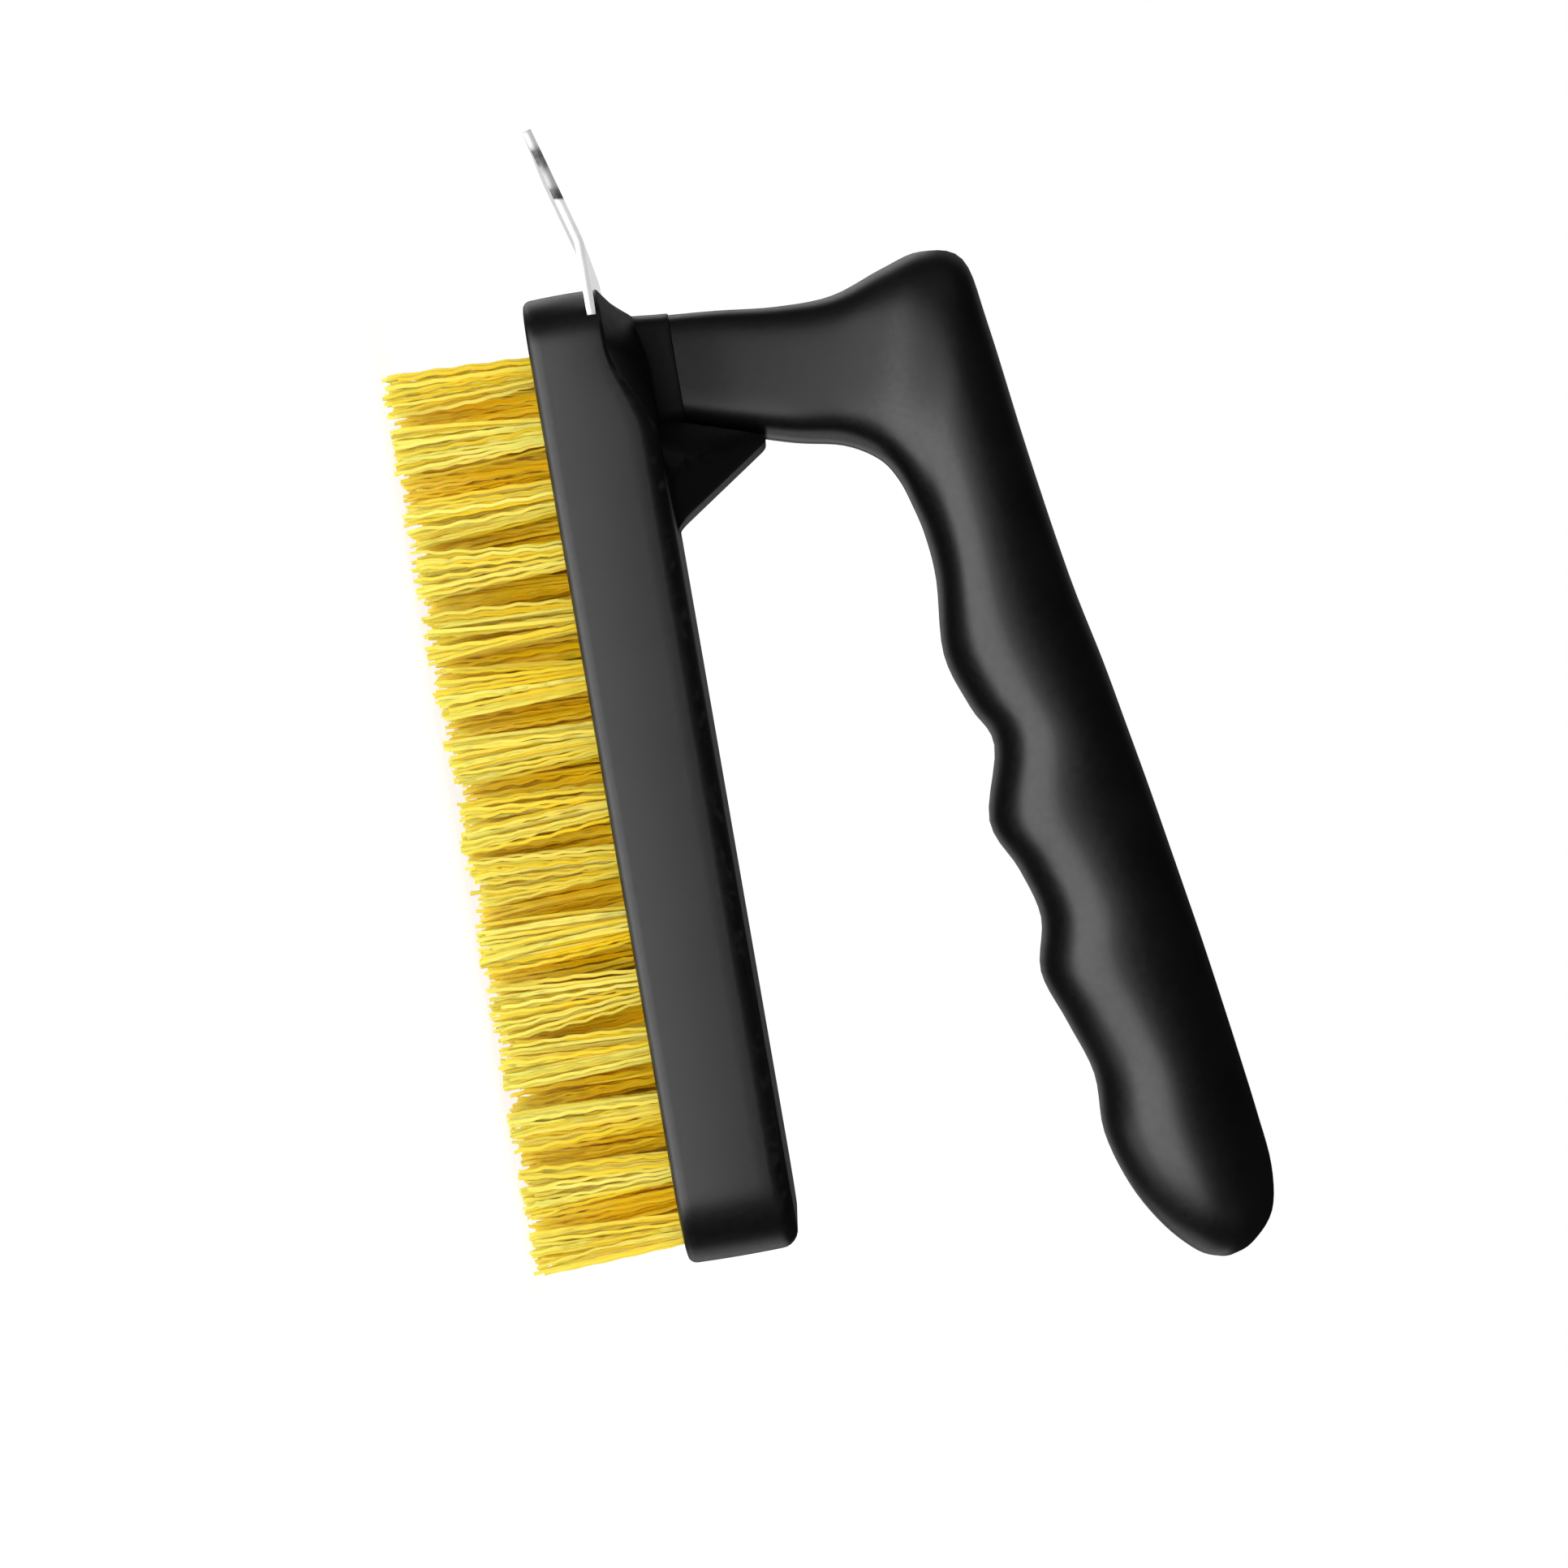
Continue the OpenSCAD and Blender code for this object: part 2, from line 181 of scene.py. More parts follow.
# Stations of the handle, from its foot on the collar to the free end. Places are measured
# from the scraper end of the head and from the collar's top: back x and z (the outer side of
# the arch), front x and z (the fingers' side), half width, squareness of the section.
STATIONS = [
    (4.3, 0, 23.0, 0, 11.45, 4.5),
    (4.9, 8, 25.5, 8.5, 11.0, 4.5),
    (5.9, 18, 28.3, 17.5, 11.0, 4.2),
    (5.6, 27.5, 30.2, 25.5, 11.3, 3.6),
    (2.5, 36.5, 33.5, 30.9, 11.8, 3.2),
    (0.7, 43.5, 37.5, 33.6, 12.4, 3.0),
    (3.1, 50.3, 42.5, 35.2, 12.8, 2.8),
    (14.5, 52.7, 48.0, 36.4, 13.1, 2.6),
    (36.5, 55.6, 55.5, 36.9, 13.3, 2.5),
    (58.5, 59.0, 68.0, 36.0, 13.4, 2.4),
    (73.5, 62.1, 77.5, 38.9, 13.4, 2.4),
    (84.5, 64.1, 84.5, 41.8, 13.4, 2.4),
    (95.0, 66.0, 97.0, 38.8, 13.4, 2.4),
    (106.5, 67.9, 106.0, 42.4, 13.4, 2.4),
    (115.0, 69.3, 114.5, 44.6, 13.4, 2.35),
    (123.0, 70.6, 123.5, 43.0, 13.4, 2.3),
    (132.5, 72.0, 132.5, 45.9, 13.4, 2.2),
    (142.5, 73.4, 142.0, 48.9, 13.4, 2.12),
    (152.5, 74.7, 152.0, 48.9, 13.35, 2.1),
    (162.0, 75.6, 161.5, 51.7, 12.9, 2.1),
    (169.5, 74.4, 169.0, 56.0, 11.1, 2.1),
    (174.1, 70.4, 174.1, 60.8, 7.0, 2.1),
    (175.7, 66.9, 175.7, 64.3, 2.2, 2.0),
]
SHELL_T = 2.8
PARTING_BAND, PARTING_EASE = 0.35, 0.22    # width and depth of the groove where the halves meet
NECK_X0, NECK_X1 = HEAD_X0 + STATIONS[0][0], HEAD_X0 + STATIONS[0][2]
NECK_HALF = STATIONS[1][4]

# Screws in the right half, with the places measured as the stations' are
GRIP_SCREWS = ((19, 44), (74, 51), (146, 61.5))
NECK_SCREW = (14, 5)
SCREW_SEAT = 9.0                   # how far from the middle plane their heads sit
POST_R = 4.2                       # of the post round each screw
SCREW_R = 1.6
SCREW_HEAD_R = 2.5


def blend_stations(a, b, c, d, t):
    """A Catmull-Rom curve through b and c."""
    return [0.5 * (2 * q + (r - p) * t + (2 * p - 5 * q + 4 * r - s) * t * t
                   + (3 * q - p - 3 * r + s) * t ** 3) for p, q, r, s in zip(a, b, c, d)]


def handle_sections(steps):
    """Sections of the handle, a few for each gap between stations."""
    last = len(STATIONS) - 1
    for i in range(last):
        for k in range(steps):
            yield blend_stations(STATIONS[max(i - 1, 0)], STATIONS[i], STATIONS[i + 1],
                                 STATIONS[min(i + 2, last)], k / steps)
    yield STATIONS[last]


def section_ring(section, sides):
    """A closed ring round one section of the handle, squared off as the section asks."""
    back = Vector((HEAD_X0 + section[0], 0, SEAM_Z + section[1]))
    front = Vector((HEAD_X0 + section[2], 0, SEAM_Z + section[3]))
    middle, reach, power = (back + front) / 2, (back - front) / 2, 2 / section[5]
    places = []
    for k in range(sides):
        angle = math.tau * k / sides
        c, s = math.cos(angle), math.sin(angle)
        places.append(middle + reach * math.copysign(abs(c) ** power, c)
                      + Vector((0, -section[4] * math.copysign(abs(s) ** power, s), 0)))
    return places


def handle_half(side):
    """One hollow half of the handle; side is -1 for the left half and 1 for the right."""
    bm = bmesh.new()
    loft(bm, [section_ring(s, 64) for s in handle_sections(5)])
    bmesh.ops.recalc_face_normals(bm, faces=bm.faces)
    # a line along the groove's outer edge, then the cut on the middle plane
    for offset, drop in ((PARTING_BAND, False), (0.0, True)):
        geometry = bm.verts[:] + bm.edges[:] + bm.faces[:]
        bmesh.ops.bisect_plane(bm, geom=geometry, dist=1e-4, plane_co=(0, side * offset, 0),
                               plane_no=(0, -side, 0), clear_outer=drop)
    foot = [f for f in bm.faces if all(abs(v.co.z - SEAM_Z) < 0.01 for v in f.verts)]
    bmesh.ops.delete(bm, geom=foot, context="FACES_ONLY")
    bmesh.ops.remove_doubles(bm, verts=bm.verts, dist=TINY)
    for v in bm.verts:
        if abs(v.co.y) < TINY and v.is_boundary:
            v.co -= v.normal * PARTING_EASE
    bm.normal_update()
    bmesh.ops.solidify(bm, geom=bm.faces[:], thickness=SHELL_T)
    return bm


def rod(x, z, y0, y1, radius):
    """A closed cylinder across the handle, from y0 to y1."""
    bm = bmesh.new()
    bmesh.ops.create_cone(bm, cap_ends=True, segments=40, radius1=radius, radius2=radius,
                          depth=abs(y1 - y0))
    bmesh.ops.rotate(bm, verts=bm.verts, matrix=Matrix.Rotation(math.pi / 2, 3, "X"))
    bmesh.ops.translate(bm, verts=bm.verts, vec=(HEAD_X0 + x, (y0 + y1) / 2, SEAM_Z + z))
    return bm


def build_handle(black):
    """Both halves, with screw posts and sunk seats in the right one."""
    place(handle_half(-1), "grip_half_left", black, "handle_left")
    right = place(handle_half(1), "grip_half_right", black, "handle_right")
    for x, z in GRIP_SCREWS:
        carve(right, rod(x, z, 11.8, 1.0, POST_R), "UNION")
    carve(right, rod(*NECK_SCREW, 9.8, 7.2, POST_R), "UNION")
    for x, z in (*GRIP_SCREWS, NECK_SCREW):
        carve(right, rod(x, z, 16, SCREW_SEAT, SCREW_HEAD_R + 0.3))


# ---------------------------------------------------------------- head

CORNER_R = {1: 13.5, -1: 9.5}      # seen from above, at the free end and at the scraper end
WALL = 2.2
CROWN = 0.1                        # how far the side walls draw in at their edges
LIP_Z = BLADE_HIGH.z + 0.8         # top edge of the head at the scraper end
SLOPE_X0, SLOPE_X1 = HEAD_X0 + 10, HEAD_X0 + 26
GUSSET_TOP = Vector((HEAD_X0 + 28.0, 8.5, BACK_Z + 17.2))
GUSSET_TOE = HEAD_X0 + 39.6
GUSSET_WIDE = Vector((HEAD_X0 + 32.0, HALF_W - 4, BACK_Z))
# its rear face: how far inside the neck it starts, its run, and how much it leans off to the sides
GUSSET_START, GUSSET_RUN, GUSSET_LEAN = 1.4, 5.7, 0.62
FOOT_DIP = 1.9                     # how much lower the collar's foot is on the scraper's side
SLOT_DEPTH, SLOT_GAP, SLOT_SIDE = 17.3, 0.15, 0.8

# The rim, round from the inner wall to the outer one: how far in, how high, how worn
RIM_RISE = 2.2
RIM_PROFILE = ((WALL, 0.45, 0.3), (WALL - 0.12, 0.1, 0.8), (WALL - 0.4, 0, 1), (1.45, 0, 1),
               (0.95, 0.1, 1), (0.53, 0.38, 1), (0.25, 0.8, 0.8), (0.13, 1.3, 0.4),
               (CROWN, RIM_RISE, 0.1))
EDGE_WEAR = (0.2, 0.7, 1, 0.9, 0.5, 0.2)
BACK_STEPS = 72

# The collar, from the fillet at its foot over its round edge to under the handle: how far out
# of the neck, how high, and whether that is a share of the collar's height or millimetres
COLLAR_PROFILE = ((1.75, 0.06, False), (1.55, 0.22, False), (1.4, 0.5, False),
                  (1.22, 0.25, True), (0.98, 0.45, True), (0.75, 0.65, True), (0.58, 0.84, True),
                  (0.5, 0.94, True), (0.42, 0.98, True), (0.2, 1.0, True), (-1.2, 1.0, True))
COLLAR_TOP = SEAM_Z - 0.02


def outline():
    """Points round the head's rim with their inward directions, close together near the neck."""
    points = []
    corners = ((HEAD_X1, HALF_W), (HEAD_X0, HALF_W), (HEAD_X0, -HALF_W), (HEAD_X1, -HALF_W))
    for quarter, (x, y) in enumerate(corners):
        radius = CORNER_R[1 if x > 0 else -1]
        cx, cy = x - math.copysign(radius, x), y - math.copysign(radius, y)
        for k in range(17):
            a = math.pi / 2 * (quarter + k / 16)
            inward = Vector((-math.cos(a), -math.sin(a), 0))
            points.append((Vector((cx, cy, 0)) - inward * radius, inward))
        # the straight run to the next corner, along a side or across an end
        if quarter % 2 == 0:
            run, count = HEAD_X1 - HEAD_X0 - sum(CORNER_R.values()), 64
        else:
            run, count = 2 * (HALF_W - radius), 20
        start, inward = points[-1]
        along = Vector((-math.sin(a), math.cos(a), 0)) * run
        for k in range(1, count):
            u = k / count
            spread = {0: 1 - (1 - u) ** 1.5, 2: u ** 1.5}.get(quarter, u)
            points.append((start + along * spread, inward))
    return points


def edge_shape(x):
    """Height and radius of the head's upper edge at a place along it."""
    rise = smooth_step((x - SLOPE_X0) / (SLOPE_X1 - SLOPE_X0))
    return LIP_Z + (BACK_Z - LIP_Z) * rise, 0.7 + 2.3 * rise


def neck_point(direction, out):
    """Where a ray from the collar's middle leaves it.

    The collar stands out from the neck by the given amount at its sides, and by half of it at
    its front and back.
    """
    cx, hx = (NECK_X0 + NECK_X1) / 2, (NECK_X1 - NECK_X0) / 2 + out / 2
    hy = NECK_HALF + out
    power = 5.0                    # a rectangle with round corners
    reach = (abs(direction.x / hx) ** power + abs(direction.y / hy) ** power) ** (-1 / power)
    return Vector((cx + direction.x * reach, direction.y * reach, 0))


def gusset_height(x, y):
    """Height of the gusset's faces over a place on the back."""
    top, y = GUSSET_TOP, abs(y)
    rise = top.z - BACK_Z
    over = max(y - top.y, 0.0)
    front = top.z - (x - top.x) * rise / (GUSSET_TOE - top.x)
    side = top.z - over * rise / (GUSSET_WIDE.y - top.y)
    a, b = GUSSET_WIDE - top, Vector((GUSSET_TOE, top.y, BACK_Z)) - top
    n = a.cross(b)
    flank = top.z - (n.x * (x - top.x) + n.y * (y - top.y)) / n.z
    lean = max(y - NECK_HALF, 0.0) * GUSSET_LEAN
    rear = BACK_Z + (x - lean - NECK_X1 + GUSSET_START) * rise / GUSSET_RUN
    height = soft_min(soft_min(front, flank, 1.2), side, 1.2)
    return soft_min(soft_min(height, rear, 0.8), top.z, 0.5)


def build_head(black):
    """One skin from the inner wall round the rim, up and over the back to the collar; then the slot."""
    rim = outline()
    centre = Vector(((NECK_X0 + NECK_X1) / 2, 0, 0))
    rings = []

    def inset(depth, height):
        rings.append([p + n * depth + Vector((0, 0, height)) for p, n in rim])

    # inner wall, from the roof of the block's room down and round the rim
    inset(WALL, BLADE_HIGH.z + 0.05)
    inset(WALL, BLOCK_LOW.z + 2)
    wear = {}
    for depth, height, worn in RIM_PROFILE:
        wear[len(rings)] = worn
        inset(depth, RIM_Z + height)
    # outer wall, up to the start of the rounded edge
    columns = []
    for p, n in rim:
        height, radius = edge_shape(p.x)
        ray = p - centre
        foot = neck_point(ray.normalized(), 2.0)
        distance = (foot - p).length
        foot_z = BACK_Z - FOOT_DIP * (1 - smooth_step((foot.x - NECK_X0 + 2) / 12))
        slope = math.atan2(foot_z - height, distance)
        columns.append((p, n, height, radius, foot, foot_z, slope))
    for t in (0.17, 0.34, 0.5, 0.66, 0.83, 1.0):
        crown = CROWN * (2 * t - 1) ** 2
        rings.append([p + n * crown + Vector((0, 0, RIM_Z + RIM_RISE + (h - r - RIM_Z - RIM_RISE) * t))
                      for p, n, h, r, *_ in columns])
    # the rounded edge
    for k, worn in enumerate(EDGE_WEAR, start=1):
        ring = []
        wear[len(rings)] = worn
        for p, n, h, r, foot, foot_z, slope in columns:
            turn = (math.pi / 2 - slope) * k / len(EDGE_WEAR)
            ring.append(p + n * (CROWN + r * (1 - math.cos(turn)))
                        + Vector((0, 0, h - r + r * math.sin(turn))))
        rings.append(ring)
    # the back, the shoulder and the gusset, from the edge in to the collar
    edge = rings[-1]
    for j in range(1, BACK_STEPS + 1):
        ring = []
        for q, (p, n, h, r, foot, foot_z, slope) in zip(edge, columns):
            flat = Vector((q.x, q.y, 0))
            length = (foot - flat).length
            pull = 1.5 * math.log(1 + length / 8)
            u = 1 - j / BACK_STEPS
            t = (math.exp(pull * u) - 1) / (math.exp(pull) - 1)
            spot = foot.lerp(flat, t)
            height = foot_z + (q.z - foot_z) * t
            ring.append(spot + Vector((0, 0, soft_max(height, gusset_height(spot.x, spot.y), 0.8))))
        rings.append(ring)
    # the collar
    for out, rise, share in COLLAR_PROFILE:
        ring = []
        for p, n, h, r, foot, foot_z, slope in columns:
            spot = neck_point((p - centre).normalized(), out)
            height = foot_z + (rise * (COLLAR_TOP - foot_z) if share else rise)
            ring.append(spot + Vector((0, 0, soft_max(height, gusset_height(spot.x, spot.y), 0.5))))
        rings.append(ring)
    bm = bmesh.new()
    edge_layer = bm.verts.layers.float.new("edge")
    skin = loft(bm, rings)
    for index, worn in wear.items():
        for v in skin[index]:
            v[edge_layer] = worn
    shell = place(bm, "brush_head", black, "head_shell")
    side = BLADE_HIGH.y + SLOT_SIDE
    carve(shell, block_between((HEAD_X0 - 5, -side, BLADE_HIGH.z - BLADE_T - SLOT_GAP),
                               (HEAD_X0 + SLOT_DEPTH, side, BLADE_HIGH.z + SLOT_GAP)))


def block_between(low, high):
    """A closed block between two corners."""
    low, high = Vector(low), Vector(high)
    bm = bmesh.new()
    bmesh.ops.create_cube(bm, size=1)
    bmesh.ops.scale(bm, vec=high - low, verts=bm.verts)
    bmesh.ops.translate(bm, vec=(low + high) / 2, verts=bm.verts)
    return bm


# ---------------------------------------------------------------- bristles

FILAMENTS = 42                     # in a tuft
FILAMENT_R = 0.35
FILAMENT_STEPS = 20
CLUMPS = 8                         # in a tuft; the filaments of one keep together
HOLE_R, TIP_R, TIP_LIMIT = 2.25, 4.6, 5.6    # a tuft in its hole, at its tips, and the most it may spread
TUFT_SEAT = BLOCK_LOW.z + 5.6
CRIMP_WAVE, CRIMP = 5.0, 0.17      # length and height of the waves
STRAIGHT = 4.0                     # a filament is straight for this long and then as long in taking its crimp
STRAYS, LOWEST_TIP = 0.12, 0.03    # the share that stands out of its clump, and the longest tips' height
TUFTS_IN_ROW, TUFT_HALF = 15, 4.5
BRISTLE_SEED = 7


def straight_filament():
    """A straight three-sided filament one long and one in radius, closed at both ends."""
    bm = bmesh.new()
    ring = bmesh.ops.create_circle(bm, cap_ends=True, segments=3, radius=1)["verts"]
    for k in range(1, FILAMENT_STEPS + 1):
        ring = grow(bm, ring, [Vector((v.co.x, v.co.y, k / FILAMENT_STEPS)) for v in ring])
    close(bm, ring)
    bmesh.ops.recalc_face_normals(bm, faces=bm.faces)
    mesh = bpy.data.meshes.new("filament")
    bm.to_mesh(mesh)
    bm.free()
    return mesh


def spot_in_disc(rng, radius):
    """A random place in a level disc."""
    angle, r = rng.uniform(0, math.tau), radius * math.sqrt(rng.random())
    return Vector((r * math.cos(angle), r * math.sin(angle), 0))


def add_tuft(bm, layers, filament, x, y, inner, rng):
    """Crimped filaments that leave one hole together and spread in clumps towards their tips."""
    lean = Vector((rng.gauss(0, 0.4), rng.gauss(0, 0.4), 0))
    phase, plane, reach = rng.uniform(0, math.tau), rng.uniform(0, math.pi), rng.uniform(0.0, 1.1)
    clumps = []
    for k in range(CLUMPS):
        root = Matrix.Rotation(k * 2.4, 3, "Z") @ Vector((HOLE_R * math.sqrt((k + 0.5) / CLUMPS), 0, 0))
        tip = root * (TIP_R / HOLE_R) * rng.uniform(0.8, 1.05) + lean + spot_in_disc(rng, 0.9)
        clumps.append((root, tip, reach + rng.gauss(0, 0.65)))
    for _ in range(FILAMENTS):
        root = spot_in_disc(rng, HOLE_R)
        clump_root, clump_tip, clump_reach = min(clumps, key=lambda c: (c[0] - root).length)
        tip = clump_tip + (root - clump_root) * rng.uniform(0.7, 1.6) + spot_in_disc(rng, 1.0)
        if rng.random() < STRAYS:
            tip += spot_in_disc(rng, 2.6)
        over = max(abs(tip.x), abs(tip.y) - 0.3, TIP_LIMIT) / TIP_LIMIT
        tip /= over
        low = max(LOWEST_TIP + 0.5 * rng.random() ** 2,
                  clump_reach + rng.gauss(0, 0.4) + rng.random() ** 5 * 2.2)
        bow = spot_in_disc(rng, 0.8)
        own_phase, own_plane = phase + rng.gauss(0, 0.8), plane + rng.gauss(0, 0.7)
        own_crimp, own_wave = CRIMP * rng.uniform(0.5, 1.5), CRIMP_WAVE * rng.uniform(0.85, 1.25)
        swing = Vector((math.cos(own_plane), math.sin(own_plane), 0))
        radius, turn, tone = FILAMENT_R * rng.uniform(0.86, 1.1), rng.uniform(0, 2), rng.random()
        length = TUFT_SEAT - low
        first = len(bm.verts)
        bm.from_mesh(filament)
        bm.verts.ensure_lookup_table()
        for v in bm.verts[first:]:
            t = v.co.z ** 0.9
            down = max(t * length - STRAIGHT, 0)
            wave = own_crimp * min(down / STRAIGHT, 1) * math.sin(math.tau * down / own_wave + own_phase)
            centre = root.lerp(tip, t) + bow * (4 * t * (1 - t)) + swing * wave
            c, s = math.cos(turn), math.sin(turn)
            off = Vector((v.co.x * c - v.co.y * s, -v.co.x * s - v.co.y * c, 0)) * radius
            v.co = Vector((x, y, TUFT_SEAT - t * length)) + centre + off
            v[layers[0]], v[layers[1]], v[layers[2]] = tone, t, inner


def build_bristles(yellow):
    """Five rows of tufts; the filaments of the three inner rows are marked for a deeper orange painted shade.
    """
    filament = straight_filament()
    rng = random.Random(BRISTLE_SEED)
    for row in range(5):
        low, high = box_mm(f"tuft_row_{row + 1}")
        count = TUFTS_IN_ROW - row % 2
        y, first_x = (low.y + high.y) / 2, low.x + TUFT_HALF
        pitch = (high.x - low.x - 2 * TUFT_HALF) / (count - 1)
        bm = bmesh.new()
        layers = [bm.verts.layers.float.new(name) for name in ("tone", "reach", "inner")]
        for i in range(count):
            # the three inner rows get 0.85 of the painted shade, the two outer rows none
            add_tuft(bm, layers, filament, first_x + i * pitch, y, 0.85 if 0 < row < 4 else 0.0, rng)
        place(bm, f"bristles_row_{row + 1}", yellow, f"tuft_row_{row + 1}", sharp=80,
              turned_out=True)
    bpy.data.meshes.remove(filament)


# ---------------------------------------------------------------- scraper

BLADE_FLAT, BLADE_LIP, BEND = 7.0, 20.0, math.radians(15.5)
BLADE_BEND_R, BLADE_CORNER, BLADE_EASE = 4.0, 3.0, 0.07
BEND_STEPS, LIP_STEPS = 8, 40
# A painted dark reflection on the sides of the lip: where it ends, measured from the tip, and its darker
# patches
DARK_REFLECTION_END, DARK_REFLECTION_PATCHES = 12.4, ((4.9, 1.5), (11.8, 1.2))    # from the tip; each patch's middle and spread


def dark_reflection_share(along):
    """How dark the sheet's side is painted, as a painted dark reflection, at a distance from its tip."""
    if along > DARK_REFLECTION_END:
        return 0.0
    patches = sum(math.exp(-((along - middle) / spread) ** 2) for middle, spread in DARK_REFLECTION_PATCHES)
    return min(0.2 + 0.35 * smooth_step((along - 2.5) / 2) + patches, 1.0)


def build_scraper(steel):
    """A sheet bent down by a few degrees, with round corners and sheared, eased edges."""
    bend_x, z = HEAD_X0 - BLADE_FLAT, BLADE_HIGH.z - BLADE_T
    half = BLADE_HIGH.y
    spine = [Vector((BLADE_HIGH.x, 0, z))]
    reach = BLADE_BEND_R * math.tan(BEND / 2)
    for k in range(BEND_STEPS + 1):
        a = BEND * k / BEND_STEPS
        spine.append(Vector((bend_x + reach - BLADE_BEND_R * math.sin(a), 0,
                             z - BLADE_BEND_R * (1 - math.cos(a)))))
    run = BLADE_LIP - reach
    along = Vector((-math.cos(BEND), 0, -math.sin(BEND)))
    end = spine[-1]
    spine += [end + along * (run * k / LIP_STEPS) for k in range(1, LIP_STEPS + 1)]
    tip_x = spine[-1].x
    bm = bmesh.new()
    line = [bm.verts.new(p + Vector((0, -half, 0))) for p in spine]
    edges = [bm.edges.new(pair) for pair in zip(line, line[1:])]
    for width in (BLADE_CORNER, 2 * half - 2 * BLADE_CORNER, BLADE_CORNER):
        made = bmesh.ops.extrude_edge_only(bm, edges=edges)["geom"]
        moved = [v for v in made if isinstance(v, bmesh.types.BMVert)]
        bmesh.ops.translate(bm, verts=moved, vec=(0, width, 0))
        edges = [e for e in made if isinstance(e, bmesh.types.BMEdge)
                 and abs(e.verts[0].co.y - e.verts[1].co.y) < 1e-6]
    corners = [v for v in bm.verts if len(v.link_edges) == 2]
    bmesh.ops.bevel(bm, geom=corners, offset=BLADE_CORNER, segments=6, profile=0.5,
                    affect="VERTICES", material=-1)
    bmesh.ops.recalc_face_normals(bm, faces=bm.faces)
    if sum(f.normal.z for f in bm.faces) > 0:
        bmesh.ops.reverse_faces(bm, faces=bm.faces)
    bmesh.ops.solidify(bm, geom=bm.faces[:], thickness=BLADE_T)
    bm.normal_update()
    rim = [e for e in bm.edges if e.is_manifold and e.calc_face_angle(0) > math.radians(60)]
    bmesh.ops.bevel(bm, geom=rim, offset=BLADE_EASE, segments=2, profile=0.5,
                    affect="EDGES", material=-1)
    # the sides of the sheet carry a painted dark reflection, strongest near the tip
    dark_reflection_layer = bm.verts.layers.float.new("painted_dark_reflection")
    for v in bm.verts:
        if any(abs(f.normal.y) > 0.8 for f in v.link_faces):
            v[dark_reflection_layer] = dark_reflection_share((v.co.x - tip_x) / math.cos(BEND))
    place(bm, "scraper", steel, "scraper_blade", sharp=30)


# ---------------------------------------------------------------- screws

SCREW_DOME = 1.8                   # height of a screw's head
RECESS = (2.9, 0.55, 2.4)          # each bar of the cross: length, width and height before it is sunk


def screw_mesh(length):
    """A cross-head screw with its domed head above z = 0 and its shank below."""
    bm = bmesh.new()
    r = SCREW_HEAD_R
    profile = [(0, SCREW_DOME), (0.9, 1.76), (1.6, 1.6), (2.1, 1.28), (2.42, 0.8), (r, 0.4), (r, 0.08),
               (r - 0.08, 0), (SCREW_R, 0), (SCREW_R, -length + 1.5), (0.4, -length), (0, -length)]
    line = [bm.verts.new((x, 0, z)) for x, z in profile]
    edges = [bm.edges.new(pair) for pair in zip(line, line[1:])]
    bmesh.ops.spin(bm, geom=line + edges, cent=(0, 0, 0), axis=(0, 0, 1), angle=math.tau, steps=32,
                   use_merge=True, use_duplicate=False)
    bmesh.ops.remove_doubles(bm, verts=bm.verts, dist=1e-4)
    return bm


def recess_bar(turn):
    """One of the two tapered bars of the cross that a driver bit fits."""
    bm = bmesh.new()
    bmesh.ops.create_cube(bm, size=1)
    bmesh.ops.scale(bm, vec=RECESS, verts=bm.verts)
    for v in bm.verts:
        if v.co.z < 0:
            v.co.x *= 0.35
    bmesh.ops.translate(bm, vec=(0, 0, 1.85), verts=bm.verts)
    bmesh.ops.rotate(bm, verts=bm.verts, matrix=Matrix.Rotation(turn, 3, "Z"))
    return bm


def gather(meshes, places):
    """One mesh of the given meshes, each at its own place."""
    whole = bmesh.new()
    for bm, matrix in zip(meshes, places):
        bmesh.ops.transform(bm, matrix=matrix, verts=bm.verts)
        mesh = bpy.data.meshes.new("part")
        bm.to_mesh(mesh)
        bm.free()
        whole.from_mesh(mesh)
        bpy.data.meshes.remove(mesh)
    return whole


def build_screws(steel):
    """The screws that can be seen: in the handle's right half and in the tuft block."""
    driver = math.radians(20)      # the heads are left turned by different multiples of this
    outward = Matrix.Rotation(-math.pi / 2, 4, "X")
    downward = Matrix.Rotation(math.pi, 4, "X")
    handle = [Matrix.Translation((HEAD_X0 + x, SCREW_SEAT, SEAM_Z + z)) @ outward
              @ Matrix.Rotation(driver * (3 + 2 * i), 4, "Z") for i, (x, z) in enumerate(GRIP_SCREWS)]
    neck = [Matrix.Translation((HEAD_X0 + NECK_SCREW[0], SCREW_SEAT, SEAM_Z + NECK_SCREW[1])) @ outward]
    low, high = box_mm("block_screws")
    corners = [(x, y) for x in (low.x + SCREW_HEAD_R, high.x - SCREW_HEAD_R)
               for y in (low.y + SCREW_HEAD_R, high.y - SCREW_HEAD_R)]
    block = [Matrix.Translation((x, y, low.z + SCREW_DOME)) @ downward
             @ Matrix.Rotation(driver * k, 4, "Z") for k, (x, y) in enumerate(corners)]
    for name, places, length, node in (("grip_screws", handle, 17, "handle_screws"),
                                       ("collar_screw", neck, 14, "neck_screw"),
                                       ("tuft_block_screws", block, 14, "block_screws")):
        screws = gather([screw_mesh(length) for _ in places], places)
        piece = place(screws, name, steel, node, sharp=40)
        for turn in (0, math.pi / 2):
            carve(piece, gather([recess_bar(turn) for _ in places], places))


# ---------------------------------------------------------------- materials

def new_material(name, colour, roughness, metallic=0.0, specular=0.5):
    """A plain material, with its node tree and shader for more to be added to."""
    material = bpy.data.materials.new(name)
    material.use_nodes = True
    tree = material.node_tree
    shader = tree.nodes["Principled BSDF"]
    shader.inputs["Base Color"].default_value = (*colour, 1)
    shader.inputs["Roughness"].default_value = roughness
    shader.inputs["Metallic"].default_value = metallic
    shader.inputs["Specular IOR Level"].default_value = specular
    return material, tree, shader


